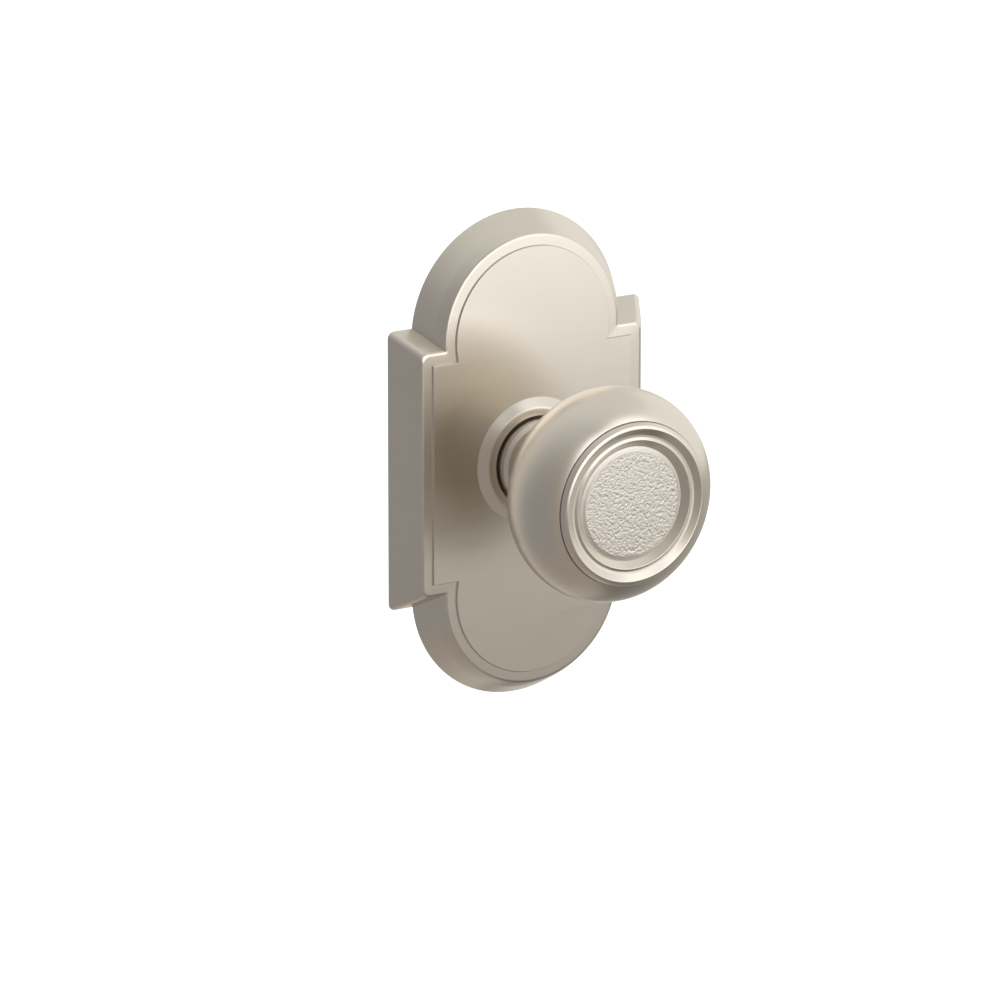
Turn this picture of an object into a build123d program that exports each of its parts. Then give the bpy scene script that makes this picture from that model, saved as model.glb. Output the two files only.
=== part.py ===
from build123d import *
import os
from math import atan2, cos, degrees, radians, sin, sqrt

# Door knob on an arched plate, one side of the door. Millimetres.
# Origin: on the spindle's axis, in the plane of the door's face.
# +X right, +Y into the door, +Z up. The knob stands towards -Y.

# ---- driving dimensions: plate ----
PLATE_HALF_W = 38.1          # half of 3 in
PLATE_HALF_H = 37.35         # half height of the straight sides
ARCH_R = 31.08               # radius of the arched ends
ARCH_Z = 34.03               # height of the arches' centres
SHOULDER_R = 1.9             # rounding of the four outer corners
RIM_Y = -8.9                 # front of the rim
RIM_INSET = 5.0              # how far the drafted sides lean in at the rim
RIM_ROUND = 1.3
PANEL_Y = -9.52              # front of the raised panel
PANEL_INSET = 8.0            # panel outline, in from the base outline
PANEL_CORNER_R = 0.2
CAVITY_Y = -7.0              # inner face of the front wall
CAVITY_INSET = 2.7           # wall at the door's face
CAVITY_TOP_INSET = 7.1       # wall foot at the front wall
FUSE = 0.5                   # overlap that joins two solids into one

# ---- driving dimensions: collar and neck ----
COLLAR_BORE_R = 12.3
COLLAR_FACE_R = 14.3         # outer edge of the flat face
COLLAR_FACE_Y = -11.35
COLLAR_FOOT_R = 17.0         # foot of the bevel
COLLAR_EDGE = 0.15           # upright edge under the bevel
SPIGOT_R = 14.0              # collar's spigot in the plate
SPIGOT_END_Y = -6.2
LOCK_RING_R = 18.0
LOCK_RING_EDGE = 0.5         # thickness at the outer edge
BUSH_FLANGE_R = 15.0
BUSH_FLANGE_T = 1.0
NECK_FLANGE_R = 11.72
NECK_FLANGE_BACK_Y = -8.6
NECK_FLANGE_FRONT_Y = -13.9
NECK_CHAMFER_R = 10.85
NECK_CHAMFER_Y = -14.85
NECK_R = 10.2
NECK_FOOT_R = 2.2            # flare where the neck meets the knob

# ---- driving dimensions: knob ----
KNOB_R = 28.1
KNOB_MID_Y = -47.2           # plane of the greatest radius
KNOB_BACK_ARC = 16.8
KNOB_FRONT_ARC = 11.6
KNOB_WALL = 1.6
MOUTH_R = 21.6               # opening that takes the face ring
LEDGE_R = 20.0               # ledge behind the face ring
LEDGE_Y = -56.0
LEDGE_T = 1.2
RING_FIT = 0.05              # face ring's clearance in the mouth
RING_WALL_Y = -57.55         # top of the ring's outer wall
RING_SHOULDER = (21.0, -58.75)
RING_CREST = (20.0, -59.2)   # radius and y of the outer, higher crest
RING_STEP_OUTER = (18.3, -58.2)
RING_STEP_INNER = (17.65, -58.15)
RING_RIDGE = (16.9, -58.45)  # the inner, lower crest
INSERT_R = 15.1
INSERT_EDGE_Y = -57.3
INSERT_DOME = 0.2
INSERT_BEVEL_W = 1.1         # sloping margin round the face
INSERT_BEVEL_Y = -56.9
SHELL_LOCK_T = 2.2

# ---- driving dimensions: running gear ----
JOURNAL_R = 9.0
RUNNING_CLEARANCE = 0.04
TAIL_R = 7.0
TAIL_FLAT = 6.0
TAIL_END_Y = 12.0
SHANK_FRONT_Y = -34.0
SPINDLE_SIDE = 7.94          # 5/16 in
SPINDLE_FRONT_Y = -26.0
SPINDLE_END_Y = 52.0
GROOVE_FRONT_Y = -3.95
GROOVE_BACK_Y = -3.0
GROOVE_R = 8.3
PIN_R = 1.5
PIN_Y = 10.2
PIN_HALF = 8.5
WASHER_R = 14.0
WASHER_T = 0.5
SPRING_WASHER_R = 12.6
SPRING_WASHER_T = 0.35
SNAP_RING_R = 10.6
SNAP_LUG_R = 1.2             # plier lugs, and the holes in them
SNAP_LUG_HOLE_R = 0.5
SNAP_GAP_HALF = 1.0

# ---- driving dimensions: spring cassette ----
TURN = 50.0                  # knob's turn each way
LUG_HALF = 10.0              # half angle of the stop lug
LUG_R = 13.4
HUB_BOSS_R = 11.3
HUB_FLANGE_R = 13.75
HUB_CORE_R = 10.2
HUB_REAR_R = 8.6
HUB_END_Y = 12.0
HOUSING_R = 16.0
HOUSING_WALL = 1.0
HOUSING_FLOOR_Y = 7.2
HOUSING_END_Y = 8.4
HOUSING_EAR_Y = 0.6
HOUSING_EAR_X = 24.5
HOUSING_EAR_HALF = 5.0
HOUSING_SCREW_X = 20.5
HOUSING_ROUND = 0.8
BUSH_WALL = 1.2              # rear bush, in the housing's floor
BUSH_LIP = 1.3
SPRING_R = 11.6
SPRING_WIRE_R = 0.75
SPRING_FRONT_Y = 1.7
SPRING_REAR_Y = 6.3
LEG_ANGLE = 12.2             # spring leg, either side of straight down
LEG_TIP_R = 14.75
TAB_HALF = 2.0               # half width of the finger and of the fixed tab

# ---- driving dimensions: fixings ----
MOUNTING_FRONT_Y = -2.6
MOUNTING_BACK_Y = -0.6
MOUNTING_HALF_W = 28.0
MOUNTING_HALF_H = 29.0
MOUNTING_CORNER_R = 4.0
EDGE_BREAK = 0.3             # chamfer on sheared and sawn edges
SCREW_R = 1.5
COUNTERSUNK_R = 2.9
COUNTERSUNK_H = 1.4
PAN_HEAD_R = 2.8
PAN_HEAD_H = 1.8
BOSS_X = 24.0
BOSS_Z = 24.0
BOSS_R = 3.4
POST_Z = 20.65               # half of 1-5/8 in between the through bolts
POST_R = 4.0
POST_BORE_R = 1.75           # tapped 8-32
POST_END_Y = 20.0
POST_HEAD_R = 5.4
POST_HEAD_T = 1.5
POST_BORE_Y = 2.0            # bottom of the tapped hole


# ---- shape helpers ----
def turned(*edges):
    """Solid of revolution about the Y axis. Outline edges lie in XY, as (radius, y)."""
    outline = Curve() + list(edges)
    return revolve(make_face(outline), axis=Axis.Y)


def ring(inner, outer, y0, y1):
    """Plain ring or disc about the Y axis."""
    points = [(inner, y0), (outer, y0), (outer, y1), (inner, y1)]
    return turned(Polyline(*points, close=True))


def along_y(radius, y0, y1, x=0.0, z=0.0):
    """Round bar along Y."""
    return Pos(x, (y0 + y1) / 2, z) * Rot(90, 0, 0) * Cylinder(radius, y1 - y0)


def block(x0, x1, y0, y1, z0, z1):
    """Box between two corners."""
    centre = Pos((x0 + x1) / 2, (y0 + y1) / 2, (z0 + z1) / 2)
    return centre * Box(x1 - x0, y1 - y0, z1 - z0)


def turn_y(shape, angle):
    """Turn about the Y axis: positive from +X towards +Z."""
    return Rot(0, -angle, 0) * shape


def sector(inner, outer, y0, y1, half_angle, middle):
    """Slice of a ring about Y, half_angle either side of the middle angle."""
    reach = 2 * outer
    spread = radians(half_angle)
    corner = (reach * cos(spread), reach * sin(spread))
    wedge_points = [(0, 0), corner, (corner[0], -corner[1])]
    wedge = Pos(0, y0, 0) * make_face(Plane.XZ * Polyline(*wedge_points, close=True))
    wedge = extrude(wedge, y1 - y0, dir=(0, 1, 0))
    return turn_y(ring(inner, outer, y0, y1) & wedge, middle)


def plate_outline(inset, y, corner_r):
    """Arched outline in a plane of constant y, drawn inwards by inset."""
    w = PLATE_HALF_W - inset
    h = PLATE_HALF_H - inset
    r = ARCH_R - inset
    spring_x = sqrt(r**2 - (h - ARCH_Z)**2)
    apex = ARCH_Z + r
    cut = corner_r * (1 - sqrt(0.5))

    def shoulder(sx, sz):
        """Rounded outer corner, from the side towards the arch."""
        start = (sx * w, y, sz * (h - corner_r))
        middle = (sx * (w - cut), y, sz * (h - cut))
        end = (sx * (w - corner_r), y, sz * h)
        return start, middle, end

    edges = []
    for sz in (1, -1):
        left = shoulder(-1, sz)
        right = shoulder(1, sz)
        arch = [(-spring_x, y, sz * h), (0, y, sz * apex), (spring_x, y, sz * h)]
        edges += [ThreePointArc(*left), Line(left[2], arch[0]), ThreePointArc(*arch)]
        edges += [Line(arch[2], right[2]), ThreePointArc(*right)]
    for sx in (-1, 1):
        edges.append(Line(shoulder(sx, -1)[0], shoulder(sx, 1)[0]))
    return Face(Wire(edges))


# ---- plate side: everything that stays still ----
def escutcheon_plate():
    base = plate_outline(0, 0, SHOULDER_R)
    outer = loft([base, plate_outline(RIM_INSET, RIM_Y, SHOULDER_R)], ruled=True)
    rim_edges = outer.edges().group_by(Axis.Y)[0]
    outer = fillet(rim_edges, RIM_ROUND)
    panel = plate_outline(PANEL_INSET, PANEL_Y, PANEL_CORNER_R)
    panel = extrude(panel, RIM_Y - PANEL_Y + FUSE, dir=(0, 1, 0))
    mouth = plate_outline(CAVITY_INSET, 0, SHOULDER_R)
    cavity = loft([mouth, plate_outline(CAVITY_TOP_INSET, CAVITY_Y, SHOULDER_R)], ruled=True)
    plate = outer + panel - cavity
    for x in (-BOSS_X, BOSS_X):
        for z in (-BOSS_Z, BOSS_Z):
            plate += along_y(BOSS_R, CAVITY_Y - FUSE, MOUNTING_FRONT_Y, x, z)
            plate -= along_y(SCREW_R, CAVITY_Y, MOUNTING_FRONT_Y, x, z)
    return plate - along_y(SPIGOT_R, PANEL_Y, CAVITY_Y)


def collar_ring():
    """Bevelled ring with a flat face, and a spigot through the plate."""
    return turned(
        Polyline(
            (COLLAR_BORE_R, COLLAR_FACE_Y),
            (COLLAR_FACE_R, COLLAR_FACE_Y),
            (COLLAR_FOOT_R, PANEL_Y - COLLAR_EDGE),
            (COLLAR_FOOT_R, PANEL_Y),
            (SPIGOT_R, PANEL_Y),
            (SPIGOT_R, SPIGOT_END_Y),
            (COLLAR_BORE_R, SPIGOT_END_Y),
            close=True,
        )
    )


def collar_lock_ring():
    """Push-on ring with a dished face, on the spigot behind the front wall."""
    return turned(
        Polyline(
            (SPIGOT_R, CAVITY_Y),
            (LOCK_RING_R, CAVITY_Y),
            (LOCK_RING_R, CAVITY_Y + LOCK_RING_EDGE),
            (SPIGOT_R, SPIGOT_END_Y),
            close=True,
        )
    )


def neck_bush():
    """Flanged nylon bearing pressed into the collar's bore from behind."""
    inner = JOURNAL_R + RUNNING_CLEARANCE
    return turned(
        Polyline(
            (inner, NECK_FLANGE_BACK_Y + 0.1),
            (COLLAR_BORE_R, NECK_FLANGE_BACK_Y + 0.1),
            (COLLAR_BORE_R, SPIGOT_END_Y),
            (BUSH_FLANGE_R, SPIGOT_END_Y),
            (BUSH_FLANGE_R, SPIGOT_END_Y + BUSH_FLANGE_T),
            (inner, SPIGOT_END_Y + BUSH_FLANGE_T),
            close=True,
        )
    )


def mounting_plate():
    """Flat steel plate with the stop notch at the top of its centre hole."""
    w = MOUNTING_HALF_W
    h = MOUNTING_HALF_H
    plate = block(-w, w, MOUNTING_FRONT_Y, MOUNTING_BACK_Y, -h, h)
    plate = fillet(plate.edges().filter_by(Axis.Y), MOUNTING_CORNER_R)
    plate = chamfer(plate.faces().sort_by(Axis.Y)[-1].edges(), EDGE_BREAK)
    plate -= along_y(HUB_BOSS_R + 0.2, MOUNTING_FRONT_Y, MOUNTING_BACK_Y)
    notch_half = TURN + LUG_HALF + 0.3
    plate -= sector(HUB_BOSS_R - 1, LUG_R + 0.2, MOUNTING_FRONT_Y, MOUNTING_BACK_Y, notch_half, 90)
    for z in (-POST_Z, POST_Z):
        plate -= along_y(POST_R, MOUNTING_FRONT_Y, MOUNTING_BACK_Y, 0, z)
    for x in (-HOUSING_SCREW_X, HOUSING_SCREW_X):
        plate -= along_y(SCREW_R, MOUNTING_FRONT_Y, MOUNTING_BACK_Y, x, 0)
    for x in (-BOSS_X, BOSS_X):
        for z in (-BOSS_Z, BOSS_Z):
            plate -= Pos(x, 0, z) * countersunk_screw()
    return plate


def countersunk_screw():
    """M3 countersunk screw on the Y axis, head flush with the mounting plate's back."""
    return turned(
        Polyline(
            (0, CAVITY_Y + 0.4),
            (SCREW_R, CAVITY_Y + 0.4),
            (SCREW_R, MOUNTING_BACK_Y - COUNTERSUNK_H),
            (COUNTERSUNK_R, MOUNTING_BACK_Y),
            (0, MOUNTING_BACK_Y),
            close=True,
        )
    )


def cross_recess(y_face, depth):
    """Cross-shaped driver recess sunk from a head's outer face."""
    arm = 1.6
    half = 0.35
    upright = block(-half, half, y_face - depth, y_face, -arm, arm)
    return upright + block(-arm, arm, y_face - depth, y_face, -half, half)


def mounting_plate_screws():
    screw = countersunk_screw() - cross_recess(MOUNTING_BACK_Y, 0.9)
    places = [(x, z) for x in (-BOSS_X, BOSS_X) for z in (-BOSS_Z, BOSS_Z)]
    return Compound(children=[Pos(x, 0, z) * screw for x, z in places])


def fixing_posts():
    """Flanged posts, riveted in the mounting plate and tapped for the through bolts."""
    post = along_y(POST_R, MOUNTING_FRONT_Y, POST_END_Y)
    post += along_y(POST_HEAD_R, MOUNTING_FRONT_Y - POST_HEAD_T, MOUNTING_FRONT_Y)
    post = chamfer(post.edges().group_by(Axis.Y)[-1], 0.5)
    post -= along_y(POST_BORE_R, POST_BORE_Y, POST_END_Y)
    return Compound(children=[Pos(0, 0, z) * post for z in (-POST_Z, POST_Z)])


def spring_housing():
    """Cup round the spring, with a fixed tab below and two ears for its screws."""
    cup = ring(0, HOUSING_R, MOUNTING_BACK_Y, HOUSING_END_Y)
    cup = fillet(cup.edges().group_by(Axis.Y)[-1], HOUSING_ROUND)
    half = HOUSING_EAR_HALF
    ears = block(-HOUSING_EAR_X, HOUSING_EAR_X, MOUNTING_BACK_Y, HOUSING_EAR_Y, -half, half)
    ears = fillet(ears.edges().filter_by(Axis.Y), 2.0)
    cup += ears
    inner_r = HOUSING_R - HOUSING_WALL
    tab_low = -inner_r - 0.3
    tab_high = -HUB_FLANGE_R - 0.2
    cup -= along_y(inner_r, MOUNTING_BACK_Y, HOUSING_FLOOR_Y)
    cup += block(-TAB_HALF, TAB_HALF, 0.9, HOUSING_FLOOR_Y + 0.2, tab_low, tab_high)
    cup -= along_y(HUB_REAR_R + BUSH_WALL, HOUSING_FLOOR_Y, HOUSING_END_Y)
    for x in (-HOUSING_SCREW_X, HOUSING_SCREW_X):
        cup -= along_y(SCREW_R, MOUNTING_BACK_Y, HOUSING_EAR_Y, x, 0)
    return cup


def rear_bush():
    """Nylon ring in the housing's floor that steadies the hub."""
    inner = HUB_REAR_R + RUNNING_CLEARANCE
    outer = HUB_REAR_R + BUSH_WALL
    return turned(
        Polyline(
            (inner, HOUSING_FLOOR_Y),
            (outer, HOUSING_FLOOR_Y),
            (outer, HOUSING_END_Y),
            (outer + BUSH_LIP, HOUSING_END_Y),
            (outer + BUSH_LIP, HOUSING_END_Y + 0.7),
            (inner, HOUSING_END_Y + 0.7),
            close=True,
        )
    )


def housing_screws():
    """M3 pan-head screws through the ears into the mounting plate."""
    head_top = HOUSING_EAR_Y + PAN_HEAD_H
    screw = along_y(SCREW_R, MOUNTING_FRONT_Y, HOUSING_EAR_Y)
    head = along_y(PAN_HEAD_R, HOUSING_EAR_Y, head_top)
    head = fillet(head.edges().group_by(Axis.Y)[-1], 0.7)
    screw = screw + head - cross_recess(head_top, 1.0)
    return Compound(children=[Pos(x, 0, 0) * screw for x in (-HOUSING_SCREW_X, HOUSING_SCREW_X)])


def return_spring():
    """Torsion spring. Its two legs point outwards, either side of the tab and the finger."""
    turns = 3 - 2 * LEG_ANGLE / 360
    length = SPRING_REAR_Y - SPRING_FRONT_Y
    helix = Helix(length / turns, length, SPRING_R)
    section = Plane(helix @ 0, z_dir=helix % 0) * Circle(SPRING_WIRE_R)
    coil = sweep(section, path=helix, is_frenet=True)
    start = helix @ 0
    end = helix @ 1
    legs = []
    for tip in (start, end):
        angle = degrees(atan2(tip.Y, tip.X))
        leg = Cylinder(SPRING_WIRE_R, LEG_TIP_R - SPRING_R, align=(Align.CENTER, Align.CENTER, Align.MIN))
        leg = Rot(0, 0, angle) * Pos(SPRING_R, 0, tip.Z) * Rot(0, 90, 0) * leg
        legs.append(leg + Pos(tip.X, tip.Y, tip.Z) * Sphere(SPRING_WIRE_R))
    spring = coil + legs[0] + legs[1]
    # The helix climbs +Z from angle 0: lay it along +Y and bring its gap to straight down.
    return Pos(0, SPRING_FRONT_Y, 0) * Rot(0, 90 + LEG_ANGLE, 0) * Rot(-90, 0, 0) * spring


# ---- knob side: everything that turns ----
def knob_shell():
    """Hollow body: a back arc and a front arc that meet at the greatest radius."""
    back_x = KNOB_R - KNOB_BACK_ARC
    front_x = KNOB_R - KNOB_FRONT_ARC
    back_inner = KNOB_BACK_ARC - KNOB_WALL
    front_inner = KNOB_FRONT_ARC - KNOB_WALL
    inner_r = KNOB_R - KNOB_WALL
    half = sqrt(0.5)
    back_pole = KNOB_MID_Y + KNOB_BACK_ARC
    inner_pole = KNOB_MID_Y + back_inner
    mouth_y = KNOB_MID_Y - sqrt(KNOB_FRONT_ARC**2 - (MOUTH_R - front_x)**2)
    front_mid = (front_x + KNOB_FRONT_ARC * half, KNOB_MID_Y - KNOB_FRONT_ARC * half)
    back_mid = (back_x + KNOB_BACK_ARC * half, KNOB_MID_Y + KNOB_BACK_ARC * half)
    ledge_back = LEDGE_Y + LEDGE_T
    inner_front_r = front_x + sqrt(front_inner**2 - (ledge_back - KNOB_MID_Y)**2)
    tilt = (radians(90) - atan2(KNOB_MID_Y - ledge_back, inner_front_r - front_x)) / 2
    inner_front_mid = (front_x + front_inner * cos(tilt), KNOB_MID_Y - front_inner * sin(tilt))
    inner_back_mid = (back_x + back_inner * half, KNOB_MID_Y + back_inner * half)
    return turned(
        ThreePointArc((back_x, back_pole), back_mid, (KNOB_R, KNOB_MID_Y)),
        ThreePointArc((KNOB_R, KNOB_MID_Y), front_mid, (MOUTH_R, mouth_y)),
        Polyline(
            (MOUTH_R, mouth_y),
            (MOUTH_R, LEDGE_Y),
            (LEDGE_R, LEDGE_Y),
            (LEDGE_R, ledge_back),
            (inner_front_r, ledge_back),
        ),
        ThreePointArc((inner_front_r, ledge_back), inner_front_mid, (inner_r, KNOB_MID_Y)),
        ThreePointArc((inner_r, KNOB_MID_Y), inner_back_mid, (back_x, inner_pole)),
        Polyline(
            (back_x, inner_pole),
            (JOURNAL_R, inner_pole),
            (JOURNAL_R, back_pole),
            (back_x, back_pole),
        ),
    )


def face_ring():
    """Stepped ring: a slope round the insert, a low ridge, a narrow step, then the outer crest."""
    outer_r = MOUTH_R - RING_FIT
    outer_top = (outer_r, RING_WALL_Y)
    inner_top = (INSERT_R, INSERT_BEVEL_Y)
    return turned(
        Polyline(inner_top, (INSERT_R, LEDGE_Y), (outer_r, LEDGE_Y), outer_top),
        ThreePointArc(outer_top, RING_SHOULDER, RING_CREST),
        Polyline(RING_CREST, RING_STEP_OUTER, RING_STEP_INNER, RING_RIDGE, inner_top),
    )


def textured_insert():
    """Slightly domed disc held in the ring."""
    rim_r = INSERT_R - INSERT_BEVEL_W
    crown_y = INSERT_EDGE_Y - INSERT_DOME
    dome_r = (rim_r**2 + INSERT_DOME**2) / (2 * INSERT_DOME)
    half_y = crown_y + dome_r - sqrt(dome_r**2 - (rim_r / 2)**2)
    rim = (rim_r, INSERT_EDGE_Y)
    side = (INSERT_R, INSERT_BEVEL_Y)
    return turned(
        Polyline((0, crown_y), (0, LEDGE_Y), (INSERT_R, LEDGE_Y), side, rim),
        ThreePointArc(rim, (rim_r / 2, half_y), (0, crown_y)),
    )


def insert_backing():
    """Steel disc pressed into the ledge's bore, behind the ring and the insert."""
    return ring(0, LEDGE_R, LEDGE_Y, LEDGE_Y + LEDGE_T)


def shell_lock_ring():
    """Ring inside the knob, pressed on the shank against the shell's back wall."""
    wall_y = KNOB_MID_Y + KNOB_BACK_ARC - KNOB_WALL
    return ring(JOURNAL_R, KNOB_R - KNOB_BACK_ARC - 0.1, wall_y - SHELL_LOCK_T, wall_y)


def knob_shank():
    """Neck, journal and tail in one turned piece, with a square hole for the spindle."""
    foot_y = KNOB_MID_Y + KNOB_BACK_ARC
    flare = NECK_FOOT_R
    flare_mid = (NECK_R + flare * (1 - sqrt(0.5)), foot_y + flare * (1 - sqrt(0.5)))
    flare_start = (NECK_R + flare, foot_y)
    flare_end = (NECK_R, foot_y + flare)
    front = (JOURNAL_R, SHANK_FRONT_Y)
    shank = turned(
        Polyline((0, SHANK_FRONT_Y), front, (JOURNAL_R, foot_y), flare_start),
        ThreePointArc(flare_start, flare_mid, flare_end),
        Polyline(
            flare_end,
            (NECK_R, NECK_CHAMFER_Y),
            (NECK_CHAMFER_R, NECK_CHAMFER_Y),
            (NECK_FLANGE_R, NECK_FLANGE_FRONT_Y),
            (NECK_FLANGE_R, NECK_FLANGE_BACK_Y),
            (JOURNAL_R, NECK_FLANGE_BACK_Y),
            (JOURNAL_R, GROOVE_FRONT_Y),
            (GROOVE_R, GROOVE_FRONT_Y),
            (GROOVE_R, GROOVE_BACK_Y),
            (TAIL_R, GROOVE_BACK_Y),
            (TAIL_R, TAIL_END_Y),
            (0, TAIL_END_Y),
            (0, SHANK_FRONT_Y),
        ),
    )
    half = SPINDLE_SIDE / 2 + 0.02
    shank -= block(-half, half, SPINDLE_FRONT_Y, TAIL_END_Y, -half, half)
    for side in (-1, 1):
        near = side * TAIL_FLAT
        far = side * (TAIL_R + 1)
        shank -= block(min(near, far), max(near, far), GROOVE_BACK_Y, TAIL_END_Y, -TAIL_R, TAIL_R)
    return shank - cross_hole()


def cross_hole():
    """Hole for the cross pin, along Z."""
    return Pos(0, PIN_Y, 0) * Cylinder(PIN_R, 2 * PIN_HALF)


def thrust_washer():
    front = SPIGOT_END_Y + BUSH_FLANGE_T + 0.1
    return ring(JOURNAL_R, WASHER_R, front, front + WASHER_T)


def spring_washer():
    """Dished washer that takes up the end play."""
    washer_back = SPIGOT_END_Y + BUSH_FLANGE_T + 0.1 + WASHER_T
    return turned(
        Polyline(
            (JOURNAL_R, GROOVE_FRONT_Y - SPRING_WASHER_T),
            (JOURNAL_R, GROOVE_FRONT_Y),
            (SPRING_WASHER_R, washer_back + SPRING_WASHER_T),
            (SPRING_WASHER_R, washer_back),
            close=True,
        )
    )


def retaining_ring():
    """External snap ring with an open gap and two plier lugs."""
    body = ring(GROOVE_R, SNAP_RING_R, GROOVE_FRONT_Y, GROOVE_BACK_Y)
    lug = along_y(SNAP_LUG_R, GROOVE_FRONT_Y, GROOVE_BACK_Y, SNAP_RING_R, 0)
    for angle in (-100, -80):
        body += turn_y(lug, angle)
    gap = SNAP_GAP_HALF
    below = -SNAP_RING_R - 2 * SNAP_LUG_R
    body -= block(-gap, gap, GROOVE_FRONT_Y, GROOVE_BACK_Y, below, -GROOVE_R + 1)
    hole = along_y(SNAP_LUG_HOLE_R, GROOVE_FRONT_Y, GROOVE_BACK_Y, SNAP_RING_R + 0.2, 0)
    for angle in (-101, -79):
        body -= turn_y(hole, angle)
    return body


def driver_hub():
    """Hub on the shank's two flats, with the stop lug above and the spring finger below."""
    front = GROOVE_BACK_Y + 0.1
    flange_front = MOUNTING_BACK_Y + 0.1
    flange_back = flange_front + 1.2
    core_end = HOUSING_FLOOR_Y - 0.1
    hub = turned(
        Polyline(
            (0, front),
            (HUB_BOSS_R, front),
            (HUB_BOSS_R, flange_front),
            (HUB_FLANGE_R, flange_front),
            (HUB_FLANGE_R, flange_back),
            (HUB_CORE_R, flange_back),
            (HUB_CORE_R, core_end),
            (HUB_REAR_R, core_end),
            (HUB_REAR_R, HUB_END_Y),
            (0, HUB_END_Y),
            close=True,
        )
    )
    hub += sector(HUB_BOSS_R - 1, LUG_R, MOUNTING_FRONT_Y, flange_front + 0.3, LUG_HALF, 90)
    finger = ring(HUB_FLANGE_R - 1.0, HUB_FLANGE_R, flange_back - 0.3, core_end - 0.3)
    hub += finger & block(-TAB_HALF, TAB_HALF, flange_front, core_end, -HUB_FLANGE_R - 1, 0)
    tail = along_y(TAIL_R + 0.02, front, HUB_END_Y)
    tail &= block(-TAIL_FLAT - 0.02, TAIL_FLAT + 0.02, front, HUB_END_Y, -TAIL_R - 1, TAIL_R + 1)
    return hub - tail - cross_hole()


def spindle():
    """Square bar, fast in the shank, reaching through the door."""
    half = SPINDLE_SIDE / 2
    bar = block(-half, half, SPINDLE_FRONT_Y, SPINDLE_END_Y, -half, half)
    bar = chamfer(bar.faces().sort_by(Axis.Y)[-1].edges(), 0.8)
    return bar - cross_hole()


def spindle_pin():
    """Straight pin through the hub, the shank and the spindle."""
    pin = Cylinder(PIN_R, 2 * PIN_HALF)
    pin = chamfer(pin.edges().filter_by(GeomType.CIRCLE), EDGE_BREAK)
    return Pos(0, PIN_Y, 0) * pin


NODES = [
    escutcheon_plate,
    collar_ring,
    collar_lock_ring,
    neck_bush,
    mounting_plate,
    mounting_plate_screws,
    fixing_posts,
    spring_housing,
    housing_screws,
    rear_bush,
    return_spring,
    knob_shell,
    face_ring,
    textured_insert,
    insert_backing,
    shell_lock_ring,
    knob_shank,
    thrust_washer,
    spring_washer,
    retaining_ring,
    driver_hub,
    spindle,
    spindle_pin,
]

os.makedirs("parts", exist_ok=True)
for make_node in NODES:
    export_step(make_node(), "parts/" + make_node.__name__ + ".step")
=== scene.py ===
from math import atan2, cos, degrees, hypot, pi, radians, sin, sqrt, tan

import bmesh
import bpy
from mathutils import Matrix, Vector, noise


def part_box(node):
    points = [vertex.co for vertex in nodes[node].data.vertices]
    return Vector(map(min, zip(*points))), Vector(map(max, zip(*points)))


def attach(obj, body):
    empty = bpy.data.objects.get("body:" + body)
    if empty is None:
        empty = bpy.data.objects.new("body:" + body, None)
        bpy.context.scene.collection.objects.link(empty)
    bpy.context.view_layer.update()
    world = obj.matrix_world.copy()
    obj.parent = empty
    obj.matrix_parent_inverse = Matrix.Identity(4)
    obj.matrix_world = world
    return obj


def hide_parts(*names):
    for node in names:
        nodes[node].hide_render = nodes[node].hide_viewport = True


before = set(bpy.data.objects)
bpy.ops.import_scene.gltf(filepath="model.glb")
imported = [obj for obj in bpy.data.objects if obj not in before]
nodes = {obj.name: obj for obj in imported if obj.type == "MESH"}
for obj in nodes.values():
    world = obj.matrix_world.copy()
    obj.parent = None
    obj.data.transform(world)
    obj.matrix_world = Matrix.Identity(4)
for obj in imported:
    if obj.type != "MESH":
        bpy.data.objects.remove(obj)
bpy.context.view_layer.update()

# Satin nickel door knob on an arched plate.
# +X right, +Y into the door, +Z up. The knob turns about the Y axis.
# Shape numbers are in millimetres, and helpers turn them into metres.

MM = 0.001
scene = bpy.context.scene


def extent(node):
    """Lowest and highest corner of a CAD node, in millimetres."""
    low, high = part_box(node)
    return low / MM, high / MM


# ---------------------------------------------------------------- camera and light
def make_camera():
    """Long lens, seen from the knob's left and a little above."""
    yaw, pitch = radians(31.3), radians(16.1)
    distance, drift_right, drift_up = 2200, -3.7, -12.6
    toward = Vector((sin(yaw) * cos(pitch), cos(yaw) * cos(pitch), -sin(pitch)))
    side = Vector((cos(yaw), -sin(yaw), 0))
    up = side.cross(toward)
    aim = (side * drift_right + up * drift_up) * MM
    data = bpy.data.cameras.new("camera")
    data.sensor_width = 36.0
    data.lens = 305
    data.clip_end = 20
    camera = bpy.data.objects.new("camera", data)
    rotation = Matrix((side, up, -toward)).transposed()
    camera.matrix_world = Matrix.Translation(aim - toward * distance * MM) @ rotation.to_4x4()
    scene.collection.objects.link(camera)
    scene.camera = camera


def direction(azimuth, elevation):
    """Unit vector. Azimuth 0 is out of the door, +90 is the plate's right."""
    a, e = radians(azimuth), radians(elevation)
    return Vector((sin(a) * cos(e), -cos(a) * cos(e), sin(e)))


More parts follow.
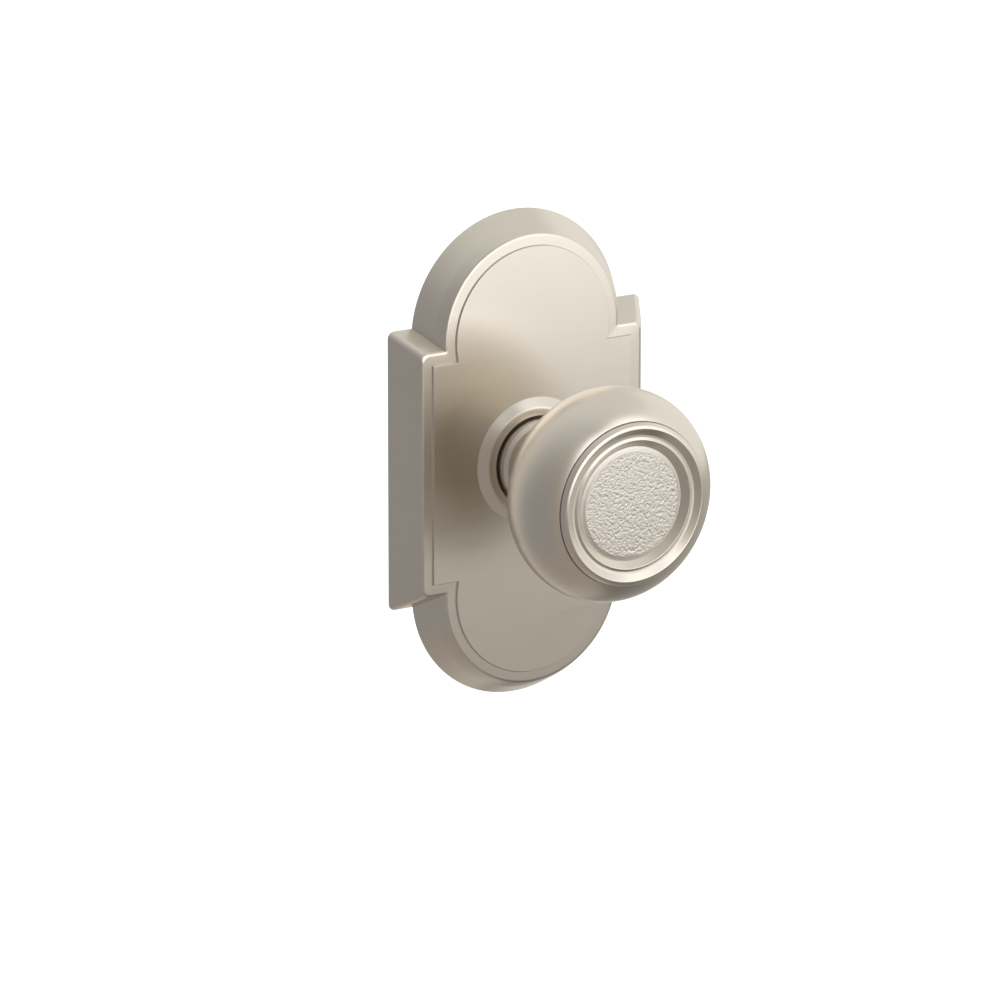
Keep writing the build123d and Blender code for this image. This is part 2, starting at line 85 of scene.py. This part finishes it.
def make_world():
    """Dim room with one wide soft glow, above and right and a little behind. The camera sees white."""
    world = bpy.data.worlds.new("studio")
    scene.world = world
    world.use_nodes = True
    tree = world.node_tree
    tree.nodes.clear()
    dim = (0.02, 0.015, 0.01)
    glow = (0.45, 0.45, 0.42)
    full_within, gone_beyond = 40, 150

    coord = tree.nodes.new("ShaderNodeTexCoord")
    dot = tree.nodes.new("ShaderNodeVectorMath")
    dot.operation = "DOT_PRODUCT"
    dot.inputs[1].default_value = direction(120, 30)
    tree.links.new(coord.outputs["Generated"], dot.inputs[0])
    fade = tree.nodes.new("ShaderNodeMapRange")
    fade.interpolation_type = "SMOOTHSTEP"
    fade.inputs["From Min"].default_value = cos(radians(gone_beyond))
    fade.inputs["From Max"].default_value = cos(radians(full_within))
    tree.links.new(dot.outputs["Value"], fade.inputs["Value"])
    total = tree.nodes.new("ShaderNodeVectorMath")
    total.operation = "MULTIPLY_ADD"
    tree.links.new(fade.outputs["Result"], total.inputs[0])
    total.inputs[1].default_value = glow
    total.inputs[2].default_value = dim

    room = tree.nodes.new("ShaderNodeBackground")
    tree.links.new(total.outputs["Vector"], room.inputs["Color"])
    white = tree.nodes.new("ShaderNodeBackground")
    white.inputs["Color"].default_value = (1, 1, 1, 1)
    path = tree.nodes.new("ShaderNodeLightPath")
    mix = tree.nodes.new("ShaderNodeMixShader")
    tree.links.new(path.outputs["Is Camera Ray"], mix.inputs[0])
    tree.links.new(room.outputs[0], mix.inputs[1])
    tree.links.new(white.outputs[0], mix.inputs[2])
    out = tree.nodes.new("ShaderNodeOutputWorld")
    tree.links.new(mix.outputs[0], out.inputs[0])


def softbox(name, low, high, radiance, color):
    """Rectangular light between two corners, in metres, that faces the knob.

    The corners agree on one axis, which is the one that the light shines along."""
    low, high = Vector(low), Vector(high)
    centre, size = (low + high) / 2, high - low
    thin = min(range(3), key=lambda i: size[i])
    away = Vector([(1 if centre[i] > 0 else -1) if i == thin else 0 for i in range(3)])
    side = Vector((0, 1, 0)) if thin == 0 else Vector((1, 0, 0))
    rise = away.cross(side)
    data = bpy.data.lights.new(name, "AREA")
    data.shape = "RECTANGLE"
    data.size = abs(size.dot(side))
    data.size_y = abs(size.dot(rise))
    data.energy = pi * radiance * data.size * data.size_y
    data.color = color
    lamp = bpy.data.objects.new(name, data)
    rotation = Matrix((side, rise, away)).transposed()
    lamp.matrix_world = Matrix.Translation(centre) @ rotation.to_4x4()
    lamp.visible_camera = False
    scene.collection.objects.link(lamp)


def make_lights():
    """Light tent: bright panels in front and on the right, and dim ones on the other sides."""
    white = (1.0, 1.0, 1.0)
    warm = (1.1, 1.0, 0.92)
    softbox("key", (0.10, -0.40, -0.10), (0.40, -0.40, 0.40), 1.2, white)
    softbox("centre", (-0.08, -0.40, -0.05), (0.10, -0.40, 0.25), 1.8, white)
    softbox("fill", (-0.40, -0.40, -0.40), (-0.08, -0.40, 0.40), 0.3, warm)
    softbox("front_low", (-0.08, -0.40, -0.40), (0.40, -0.40, -0.10), 0.2, warm)
    softbox("right", (0.40, -0.40, -0.05), (0.40, 0.30, 0.40), 0.5, white)
    softbox("left", (-0.40, -0.40, -0.40), (-0.40, 0.30, 0.40), 0.3, white)
    softbox("top", (-0.40, -0.40, 0.40), (0.40, 0.30, 0.40), 0.3, white)
    softbox("bounce", (-0.40, -0.40, -0.40), (0.10, 0.30, -0.40), 0.3, warm)
    softbox("behind", (-0.40, 0.30, -0.40), (0.40, 0.30, 0.40), 0.3, warm)


def make_floor():
    """Plain white floor, well below the knob. It doesn't show in the metal."""
    bm = bmesh.new()
    bmesh.ops.create_grid(bm, x_segments=8, y_segments=8, size=3)
    mesh = bpy.data.meshes.new("floor")
    bm.to_mesh(mesh)
    bm.free()
    floor = bpy.data.objects.new("floor", mesh)
    floor.location.z = -0.25
    floor.visible_glossy = False
    material = bpy.data.materials.new("white_floor")
    material.use_nodes = True
    shader = material.node_tree.nodes["Principled BSDF"]
    shader.inputs["Base Color"].default_value = (0.8, 0.8, 0.8, 1)
    shader.inputs["Emission Color"].default_value = (1, 1, 1, 1)
    shader.inputs["Emission Strength"].default_value = 1.0
    mesh.materials.append(material)
    scene.collection.objects.link(floor)


# ---------------------------------------------------------------- materials
class Nodes:
    """Short ways to add nodes to one material."""

    def __init__(self, name):
        self.material = bpy.data.materials.new(name)
        self.material.use_nodes = True
        self.tree = self.material.node_tree
        self.shader = self.tree.nodes["Principled BSDF"]
        self.place = self.add("ShaderNodeTexCoord").outputs["Object"]

    def add(self, kind, **settings):
        node = self.tree.nodes.new(kind)
        for key, value in settings.items():
            setattr(node, key, value)
        return node

    def link(self, source, target):
        self.tree.links.new(source, target)

    def stretched(self, scale):
        """Object coordinates, multiplied by a scale along each axis."""
        mapping = self.add("ShaderNodeMapping")
        mapping.inputs["Scale"].default_value = scale
        self.link(self.place, mapping.inputs["Vector"])
        return mapping.outputs["Vector"]

    def polar(self, radial, along, around):
        """Coordinates that follow a part turned about Y: radius, y and angle, each scaled."""
        split = self.add("ShaderNodeSeparateXYZ")
        self.link(self.place, split.inputs[0])
        angle = self.math("ARCTAN2", split.outputs["Z"], split.outputs["X"])
        flat = self.add("ShaderNodeCombineXYZ")
        self.link(split.outputs["X"], flat.inputs["X"])
        self.link(split.outputs["Z"], flat.inputs["Z"])
        length = self.add("ShaderNodeVectorMath", operation="LENGTH")
        self.link(flat.outputs[0], length.inputs[0])
        joined = self.add("ShaderNodeCombineXYZ")
        self.link(self.math("MULTIPLY", length.outputs["Value"], radial), joined.inputs["X"])
        self.link(self.math("MULTIPLY", split.outputs["Y"], along), joined.inputs["Y"])
        self.link(self.math("MULTIPLY", angle, around), joined.inputs["Z"])
        return joined.outputs[0]

    def math(self, operation, a, b):
        node = self.add("ShaderNodeMath", operation=operation)
        for socket, value in zip(node.inputs, (a, b)):
            if isinstance(value, (int, float)):
                socket.default_value = value
            else:
                self.link(value, socket)
        return node.outputs[0]

    def noise(self, vector, scale, detail=3.0, roughness=0.55):
        node = self.add("ShaderNodeTexNoise")
        node.inputs["Scale"].default_value = scale
        node.inputs["Detail"].default_value = detail
        node.inputs["Roughness"].default_value = roughness
        self.link(vector, node.inputs["Vector"])
        return node.outputs["Fac"]

    def spread(self, value, low, high, source=(0.3, 0.7)):
        """Value remapped from the source range to low..high, and held there."""
        node = self.add("ShaderNodeMapRange")
        node.inputs["From Min"].default_value, node.inputs["From Max"].default_value = source
        node.inputs["To Min"].default_value = low
        node.inputs["To Max"].default_value = high
        self.link(value, node.inputs["Value"])
        return node.outputs["Result"]

    def blend_colors(self, factor, first, second):
        node = self.add("ShaderNodeMix", data_type="RGBA")
        self.link(factor, node.inputs[0])
        first_color, second_color, result = node.inputs[6], node.inputs[7], node.outputs[2]
        first_color.default_value = (*first, 1)
        second_color.default_value = (*second, 1)
        return result

    def bump(self, height, distance, below=None):
        node = self.add("ShaderNodeBump")
        node.inputs["Distance"].default_value = distance
        node.inputs["Strength"].default_value = 1.0
        self.link(height, node.inputs["Height"])
        if below is not None:
            self.link(below, node.inputs["Normal"])
        return node.outputs["Normal"]


def satin_nickel(name, grain, rough=0.30, color=(0.765, 0.715, 0.64)):
    """Blasted and lacquered nickel. Grain is "lengthwise", "turned" or "cast"."""
    n = Nodes(name)
    cloud = n.noise(n.place, 60, detail=4)
    grit = n.noise(n.place, 900, detail=1)
    if grain == "turned":
        wiped = n.noise(n.polar(120, 120, 1.5), 1, detail=1)
    else:
        wiped = n.noise(n.stretched((40, 140, 300)), 1, detail=1)
    tone = n.math("ADD", n.math("MULTIPLY", cloud, 0.5), n.math("MULTIPLY", wiped, 0.5))
    dark = tuple(channel * 0.975 for channel in color)
    light = tuple(channel * 1.02 for channel in color)
    shade = n.blend_colors(n.spread(tone, 0, 1, (0.2, 0.8)), dark, light)
    n.link(shade, n.shader.inputs["Base Color"])
    n.link(n.spread(wiped, rough - 0.02, rough + 0.02, (0.1, 0.9)), n.shader.inputs["Roughness"])
    n.shader.inputs["Metallic"].default_value = 1.0
    depth = 0.000004 if grain == "cast" else 0.0000004
    n.link(n.bump(grit, depth), n.shader.inputs["Normal"])
    return n.material


def plated_steel(name, color, rough, tint):
    """Pressed steel with bright zinc plating: soft mottling and rolling marks."""
    n = Nodes(name)
    mottle = n.noise(n.place, 420, detail=5, roughness=0.6)
    rolled = n.noise(n.stretched((3200, 900, 220)), 1, detail=3)
    grain = n.noise(n.place, 3800, detail=2)
    n.link(n.blend_colors(n.spread(mottle, 0, 1), color, tint), n.shader.inputs["Base Color"])
    wear = n.math("ADD", n.math("MULTIPLY", mottle, 0.5), n.math("MULTIPLY", rolled, 0.5))
    n.link(n.spread(wear, rough - 0.06, rough + 0.08), n.shader.inputs["Roughness"])
    n.shader.inputs["Metallic"].default_value = 1.0
    low = n.bump(rolled, 0.000006)
    n.link(n.bump(grain, 0.000006, below=low), n.shader.inputs["Normal"])
    return n.material


def die_cast_zinc():
    """Dull grey casting with a pebbled skin."""
    n = Nodes("die_cast_zinc")
    pebble = n.noise(n.place, 1500, detail=4, roughness=0.6)
    stain = n.noise(n.place, 130, detail=5)
    shade = n.blend_colors(n.spread(stain, 0, 1), (0.40, 0.40, 0.41), (0.56, 0.56, 0.57))
    n.link(shade, n.shader.inputs["Base Color"])
    n.link(n.spread(pebble, 0.42, 0.6), n.shader.inputs["Roughness"])
    n.shader.inputs["Metallic"].default_value = 1.0
    n.link(n.bump(pebble, 0.00004), n.shader.inputs["Normal"])
    return n.material


def moulded_nylon():
    """Natural nylon: off-white, slightly waxy, with a faint flow pattern."""
    n = Nodes("moulded_nylon")
    flow = n.noise(n.polar(600, 300, 3), 1, detail=4)
    skin = n.noise(n.place, 2600, detail=2)
    shade = n.blend_colors(n.spread(flow, 0, 1), (0.72, 0.69, 0.60), (0.84, 0.82, 0.75))
    n.link(shade, n.shader.inputs["Base Color"])
    n.link(n.spread(skin, 0.36, 0.48), n.shader.inputs["Roughness"])
    n.shader.inputs["Subsurface Weight"].default_value = 0.15
    n.shader.inputs["Subsurface Scale"].default_value = 0.001
    n.link(n.bump(skin, 0.000006), n.shader.inputs["Normal"])
    return n.material


# ---------------------------------------------------------------- mesh helpers
def rounded(corners, degrees_per_step=9):
    """Path through corners given as (a, b, rounding radius), with each corner turned into an arc.

    The first and last corners are the path's ends, so their rounding is not used."""
    path = [Vector(corners[0][:2])]
    for before, here, after in zip(corners, corners[1:], corners[2:]):
        point, radius = Vector(here[:2]), here[2]
        back = (Vector(before[:2]) - point).normalized()
        ahead = (Vector(after[:2]) - point).normalized()
        half = back.angle(ahead) / 2
        if radius == 0:
            path.append(point)
            continue
        centre = point + (back + ahead).normalized() * radius / sin(half)
        first = point + back * radius / tan(half) - centre
        turn = first.angle_signed(point + ahead * radius / tan(half) - centre)
        steps = max(2, round(abs(turn) / radians(degrees_per_step)))
        for i in range(steps + 1):
            angle = -turn * i / steps
            c, s = cos(angle), sin(angle)
            spoke = Vector((first.x * c - first.y * s, first.x * s + first.y * c))
            path.append(centre + spoke)
    path.append(Vector(corners[-1][:2]))
    return path


def arc(centre, radius, start, end, steps):
    """Points on a circle, angles in degrees from +a towards +b."""
    angles = [radians(start + (end - start) * i / steps) for i in range(steps + 1)]
    return [Vector((centre[0] + radius * cos(a), centre[1] + radius * sin(a))) for a in angles]


def circle(radius, y, count, x=0.0, z=0.0):
    """Ring of points about a line along Y."""
    angles = [2 * pi * i / count for i in range(count)]
    return [Vector((x + radius * cos(a), y, z + radius * sin(a))) for a in angles]


class Skin:
    """A mesh put together from rings of points and flat fills between them."""

    def __init__(self):
        self.bm = bmesh.new()

    def ring(self, points):
        return [self.bm.verts.new(Vector(p) * MM) for p in points]

    def strip(self, rings, closed=False):
        """Quads between neighbouring rings of equal length."""
        verts = [self.ring(points) for points in rings]
        pairs = list(zip(verts, verts[1:]))
        if closed:
            pairs.append((verts[-1], verts[0]))
        for a, b in pairs:
            for i in range(len(a)):
                j = (i + 1) % len(a)
                self.bm.faces.new((a[i], a[j], b[j], b[i]))
        return verts

    def loop_edges(self, verts):
        pairs = zip(verts, verts[1:] + verts[:1])
        return [self.bm.edges.get(pair) or self.bm.edges.new(pair) for pair in pairs]

    def fill(self, loops, toward):
        """Flat face between an outer loop and any holes in it."""
        edges = [edge for verts in loops for edge in self.loop_edges(verts)]
        bmesh.ops.triangle_fill(self.bm, use_beauty=True, edges=edges, normal=toward)

    def cap(self, verts):
        self.bm.faces.new(verts)

    def finish(self, name, material, body, replaced, sharp_angle=38):
        """Turns the skin into a piece that rides on a body and stands for a CAD node."""
        bmesh.ops.recalc_face_normals(self.bm, faces=self.bm.faces)
        mesh = bpy.data.meshes.new(name)
        self.bm.to_mesh(mesh)
        self.bm.free()
        mesh.shade_smooth()
        mesh.set_sharp_from_angle(angle=radians(sharp_angle))
        piece = bpy.data.objects.new(name, mesh)
        scene.collection.objects.link(piece)
        mesh.materials.append(material)
        weighted = piece.modifiers.new("flat_faces_stay_flat", "WEIGHTED_NORMAL")
        weighted.keep_sharp = True
        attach(piece, body)
        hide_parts(replaced)
        return piece


TURNED_SEGMENTS = 288


def turned_piece(name, outline, material, body, replaced):
    """Closed outline of (radius, y) points spun about the Y axis."""
    skin = Skin()
    skin.strip([circle(p.x, p.y, TURNED_SEGMENTS) for p in outline], closed=True)
    return skin.finish(name, material, body, replaced)


# ---------------------------------------------------------------- escutcheon plate
plate_low, plate_high = extent("escutcheon_plate")
HALF_W = plate_high.x
HALF_H = 37.35               # of the straight sides
ARCH_R = 31.08
ARCH_Z = plate_high.z - ARCH_R
SHOULDER_R = 1.9
PANEL_Y = plate_low.y
RIM_Y = PANEL_Y + 0.62
RIM_INSET = 5.0              # lean of the drafted sides at the rim
RIM_ROUND = 1.3
RIM_FALL = 0.06              # the rim drops this much towards its outer edge
STEP_FOOT_INSET = 7.9        # foot of the step up to the raised panel
STEP_TOP_INSET = 8.1
PANEL_CORNER_R = 0.25
SIDE_BULGE = (3.35, -6.4)    # inset and y where the sides change their lean
SIDE_BULGE_R = 12.0
BACK_EDGE_W = 2.7            # flat back edge that meets the door
CAVITY_Y = -7.0
CAVITY_INSET = 7.1
CAVITY_R = 0.8
SPIGOT_R = 14.0
BOSS_X = BOSS_Z = 24.0       # four screw bosses inside the casting
BOSS_R = 3.4
BOSS_DRAFT = 0.12
BOSS_FILLET = 0.5
BOSS_END_Y = -2.6
SCREW_R = 1.5


def arched_outline(inset, y, corner_r):
    """The plate's outline, drawn inwards, from the lower right shoulder round by the top."""
    w, h, r = HALF_W - inset, HALF_H - inset, ARCH_R - inset
    foot_x = sqrt(r**2 - (h - ARCH_Z)**2)
    foot_angle = atan2(h - ARCH_Z, foot_x)
    corner_steps, shoulder_steps, arch_steps = 8, 5, 48
    quarter = []
    for i in range(corner_steps + 1):
        a = radians(90) * i / corner_steps
        quarter.append((w - corner_r + corner_r * cos(a), h - corner_r + corner_r * sin(a)))
    for i in range(1, shoulder_steps):
        quarter.append((w - corner_r + (foot_x - w + corner_r) * i / shoulder_steps, h))
    for i in range(arch_steps):
        a = foot_angle + (pi / 2 - foot_angle) * i / arch_steps
        quarter.append((r * cos(a), ARCH_Z + r * sin(a)))
    top = (0.0, ARCH_Z + r)
    upper = quarter + [top] + [(-x, z) for x, z in reversed(quarter)]
    lower = [(-x, -z) for x, z in upper]
    return [Vector((x, y, z)) for x, z in upper + lower]


def make_plate(material):
    """Hollow casting: raised panel, rim, drafted sides, back edge and cavity, with its bosses."""
    skin = Skin()
    section = rounded([
        (STEP_TOP_INSET + 0.8, PANEL_Y, 0),
        (STEP_TOP_INSET, PANEL_Y, 0.12),
        (STEP_FOOT_INSET, RIM_Y, 0.1),
        (RIM_INSET, RIM_Y + RIM_FALL, RIM_ROUND),
        (*SIDE_BULGE, SIDE_BULGE_R),
        (0, 0, 0.04),
        (BACK_EDGE_W, 0, 0.15),
        (CAVITY_INSET, CAVITY_Y, CAVITY_R),
        (CAVITY_INSET + 1.5, CAVITY_Y, 0),
    ])
    rings = []
    for inset, y in section:
        on_panel = y < RIM_Y - 0.02
        rings.append(arched_outline(inset, y, PANEL_CORNER_R if on_panel else SHOULDER_R))
    outline = skin.strip(rings)
    bore = skin.strip([circle(SPIGOT_R, PANEL_Y, 96), circle(SPIGOT_R, CAVITY_Y, 96)])
    skin.fill([outline[0], bore[0]], (0, -1, 0))
    feet = []
    for x in (-BOSS_X, BOSS_X):
        for z in (-BOSS_Z, BOSS_Z):
            boss = rounded([
                (BOSS_R + 0.7, CAVITY_Y, 0),
                (BOSS_R, CAVITY_Y, BOSS_FILLET),
                (BOSS_R - BOSS_DRAFT, BOSS_END_Y, 0.25),
                (SCREW_R, BOSS_END_Y, 0.1),
                (SCREW_R, CAVITY_Y + 0.1, 0),
            ])
            verts = skin.strip([circle(r, y, 40, x, z) for r, y in boss])
            feet.append(verts[0])
            skin.cap(verts[-1])
    skin.fill([outline[-1], bore[-1]] + feet, (0, 1, 0))
    return skin.finish("arched_plate", material, "plate", "escutcheon_plate", 30)


# ---------------------------------------------------------------- collar
COLLAR_BORE_R = 12.3
COLLAR_FACE_R = 14.3         # flat face, then a bevel out to the edge
COLLAR_FACE_Y = -11.35
COLLAR_EDGE_R = 17.0
COLLAR_EDGE = 0.15
COLLAR_SEAM_Y = -8.0         # where the outline starts and ends, on the bore's wall


def make_collar(material):
    """Bevelled ring round the neck, with a spigot through the plate."""
    spigot_r = SPIGOT_R - 0.02
    spigot_end_y = extent("collar_ring")[1].y
    outline = rounded([
        (COLLAR_BORE_R, COLLAR_SEAM_Y, 0),
        (COLLAR_BORE_R, COLLAR_FACE_Y, 0.2),
        (COLLAR_FACE_R, COLLAR_FACE_Y, 1.6),
        (COLLAR_EDGE_R, PANEL_Y - COLLAR_EDGE, 0.3),
        (COLLAR_EDGE_R, PANEL_Y, 0),
        (spigot_r, PANEL_Y, 0),
        (spigot_r, spigot_end_y, 0.3),
        (COLLAR_BORE_R, spigot_end_y, 0.3),
        (COLLAR_BORE_R, COLLAR_SEAM_Y, 0),
    ])
    return turned_piece("collar", outline[:-1], material, "plate", "collar_ring")


# ---------------------------------------------------------------- knob
KNOB_MID_Y = -47.2           # where the knob is widest
KNOB_BACK_ARC = 16.8
KNOB_FRONT_ARC = 11.6
KNOB_WALL = 1.6
KNOB_BORE_R = 9.0
MOUTH_R = 21.6
MOUTH_BEVEL = 0.12
LEDGE_R = 20.0               # ledge that carries the face ring
LEDGE_Y = -56.0
LEDGE_T = 1.2


def make_knob_body(material):
    """Hollow turned shell: a wide back arc, a tighter front arc and a mouth for the face ring."""
    knob_r = extent("knob_shell")[1].x
    back = (knob_r - KNOB_BACK_ARC, KNOB_MID_Y)
    front = (knob_r - KNOB_FRONT_ARC, KNOB_MID_Y)
    mouth_x = MOUTH_R + MOUTH_BEVEL - front[0]
    mouth_drop = sqrt(KNOB_FRONT_ARC**2 - mouth_x**2)
    mouth_turn = degrees(atan2(mouth_drop, mouth_x))
    outline = arc(back, KNOB_BACK_ARC, 90, 0, 48)
    outline += arc(front, KNOB_FRONT_ARC, 0, -mouth_turn, 36)[1:]
    outline += rounded([
        (MOUTH_R, KNOB_MID_Y - mouth_drop + MOUTH_BEVEL, 0),
        (MOUTH_R, LEDGE_Y, 0.1),
        (LEDGE_R, LEDGE_Y, 0.1),
        (LEDGE_R, LEDGE_Y + LEDGE_T, 0),
    ])

    inner_arc = KNOB_FRONT_ARC - KNOB_WALL
    inner_drop = KNOB_MID_Y - (LEDGE_Y + LEDGE_T)
    inner_turn = degrees(atan2(inner_drop, sqrt(inner_arc**2 - inner_drop**2)))
    outline += arc(front, inner_arc, -inner_turn, 0, 16)
    outline += arc(back, KNOB_BACK_ARC - KNOB_WALL, 0, 90, 24)[1:]
    back_y = KNOB_MID_Y + KNOB_BACK_ARC
    outline += [Vector((KNOB_BORE_R, back_y - KNOB_WALL)), Vector((KNOB_BORE_R, back_y))]
    return turned_piece("knob_body", outline, material, "knob", "knob_shell")


RING_BORE_R = 15.05
RING_BORE_Y = -56.9          # the bore's front edge
RING_SEAM_Y = -56.5          # where the outline starts and ends, on the bore's wall
RING_RIDGE = (16.9, -58.5)   # (radius, y) of the profile's corners, from the bore outwards
RING_STEP_INNER = (17.6, -58.12)
RING_STEP_OUTER = (18.3, -58.18)
RING_CREST = (20.0, -59.24)
RING_SHOULDER = (20.9, -58.95)
RING_OUTER = (21.5, -57.95)
RING_FOOT_R = 21.55


def make_face_ring(material):
    """Ring in the knob's mouth: an inner ridge, a flat step and a rounded crest."""
    outline = rounded([
        (RING_BORE_R, RING_SEAM_Y, 0),
        (RING_BORE_R, RING_BORE_Y, 0.05),
        (*RING_RIDGE, 0.25),
        (*RING_STEP_INNER, 0.15),
        (*RING_STEP_OUTER, 0.15),
        (*RING_CREST, 0.45),
        (*RING_SHOULDER, 0.9),
        (*RING_OUTER, 0.3),
        (RING_FOOT_R, LEDGE_Y, 0),
        (RING_BORE_R, LEDGE_Y, 0),
        (RING_BORE_R, RING_SEAM_Y, 0),
    ], degrees_per_step=7)
    return turned_piece("stepped_ring", outline[:-1], material, "knob", "face_ring")


# ---------------------------------------------------------------- textured disc
INSERT_R = 15.0
INSERT_FACE_R = 13.5         # the face starts to fall here
INSERT_LIP_R = 13.85         # thin lip round the pitted face
INSERT_LIP_H = 0.06
INSERT_LIP_HALF_W = 0.3
INSERT_EDGE_Y = -56.9
INSERT_FACE_Y = -57.3
INSERT_CROWN = 0.2
INSERT_SIDE_R = 15.03
INSERT_SIDE_Y = -56.8
PIT_R = 14.3                 # the pits have died out here
PIT_DEPTH = 0.13
LUMP_LAYERS = ((0.85, 0.36, 3.1), (0.47, 0.34, 8.7), (0.28, 0.30, 15.3))  # size, weight, seed
GRID_CELLS = 230


def lumps(x, z):
    """Height of the hammered skin at a point: 1 on the high ground, towards 0 in the pits."""
    bend_x, bend_z = (noise.noise(Vector((x, z, seed)) * 0.9) for seed in (7.0, 19.0))
    bend = Vector((bend_x, bend_z, 0))
    height = 0.0
    for size, weight, seed in LUMP_LAYERS:
        spot = Vector((x / size, z / size, seed)) + bend * 0.4
        height += weight * noise.noise(spot)
    pits = min(0.0, height + 0.02) * 2.6
    return 0.85 + height * 0.6 + pits


def disc_point(u, v):
    """Square -1..1 mapped evenly on the unit disc."""
    return u * sqrt(1 - v * v / 2), v * sqrt(1 - u * u / 2)


def smooth(value):
    """Eased 0 to 1."""
    value = min(1.0, max(0.0, value))
    return value * value * (3 - 2 * value)


def insert_y(x, z):
    """Front of the disc at a point: domed, pitted, with a thin lip and a margin that falls away."""
    radius = hypot(x, z)
    y = INSERT_FACE_Y - INSERT_CROWN * (1 - (radius / INSERT_R)**2)
    y += (INSERT_EDGE_Y - INSERT_FACE_Y) * smooth((radius - INSERT_FACE_R) / (INSERT_R - INSERT_FACE_R))
    y -= INSERT_LIP_H * max(0.0, 1 - abs(radius - INSERT_LIP_R) / INSERT_LIP_HALF_W)
    # The pits die out towards the edge, over a wider margin at the upper left.
    margin = 0.4 + 3.0 * max(0.0, 0.2 + (0.55 * z - 0.35 * x) / INSERT_R)
    depth = PIT_DEPTH * smooth((PIT_R - radius) / margin)
    return y + depth * (0.75 - lumps(x, z))


def make_insert(material):
    """Disc on a square grid bent to a circle, with a short side wall and a flat back."""
    count = GRID_CELLS
    skin = Skin()
    grid = []
    for i in range(count + 1):
        row = []
        for j in range(count + 1):
            px, pz = disc_point(2 * i / count - 1, 2 * j / count - 1)
            x, z = px * INSERT_R, pz * INSERT_R
            row.append(skin.bm.verts.new(Vector((x, insert_y(x, z), z)) * MM))
        grid.append(row)
    for i in range(count):
        for j in range(count):
            skin.bm.faces.new((grid[i][j], grid[i + 1][j], grid[i + 1][j + 1], grid[i][j + 1]))
    border = [grid[i][0] for i in range(count)] + [grid[count][j] for j in range(count)]
    border += [grid[i][count] for i in range(count, 0, -1)] + [grid[0][j] for j in range(count, 0, -1)]
    previous = border
    for y in (INSERT_SIDE_Y, LEDGE_Y):
        ring = []
        for vert in border:
            flat = Vector((vert.co.x, 0, vert.co.z)).normalized() * INSERT_SIDE_R
            ring.append(skin.bm.verts.new(Vector((flat.x, y, flat.z)) * MM))
        for i in range(len(ring)):
            j = (i + 1) % len(ring)
            skin.bm.faces.new((previous[i], previous[j], ring[j], ring[i]))
        previous = ring
    skin.cap(previous)
    return skin.finish("hammered_disc", material, "knob", "textured_insert", 60)


# ---------------------------------------------------------------- scene
make_camera()
make_world()
make_lights()
make_floor()
scene.view_settings.view_transform = "Standard"

nickel_flat = satin_nickel("satin_nickel_flat", "lengthwise", 0.285)
nickel_turned = satin_nickel("satin_nickel_turned", "turned")
nickel_cast = satin_nickel("satin_nickel_cast", "cast", 0.5, (0.80, 0.76, 0.70))
zinc_steel = plated_steel("zinc_plated_steel", (0.60, 0.61, 0.62), 0.32, (0.70, 0.69, 0.66))
spring_steel = plated_steel("spring_steel", (0.36, 0.36, 0.38), 0.28, (0.46, 0.45, 0.45))
screw_steel = plated_steel("bright_screw_steel", (0.66, 0.67, 0.69), 0.24, (0.74, 0.74, 0.73))
zinc_casting = die_cast_zinc()
nylon = moulded_nylon()

NODE_MATERIALS = {
    "knob_shank": nickel_turned,
    "neck_bush": nylon,
    "rear_bush": nylon,
    "return_spring": spring_steel,
    "spring_washer": spring_steel,
    "retaining_ring": spring_steel,
    "mounting_plate_screws": screw_steel,
    "housing_screws": screw_steel,
    "driver_hub": zinc_casting,
}
for name, node in nodes.items():
    node.data.materials.clear()
    node.data.materials.append(NODE_MATERIALS.get(name, zinc_steel))

make_plate(nickel_flat)
make_collar(nickel_turned)
make_knob_body(nickel_turned)
make_face_ring(nickel_turned)
make_insert(nickel_cast)
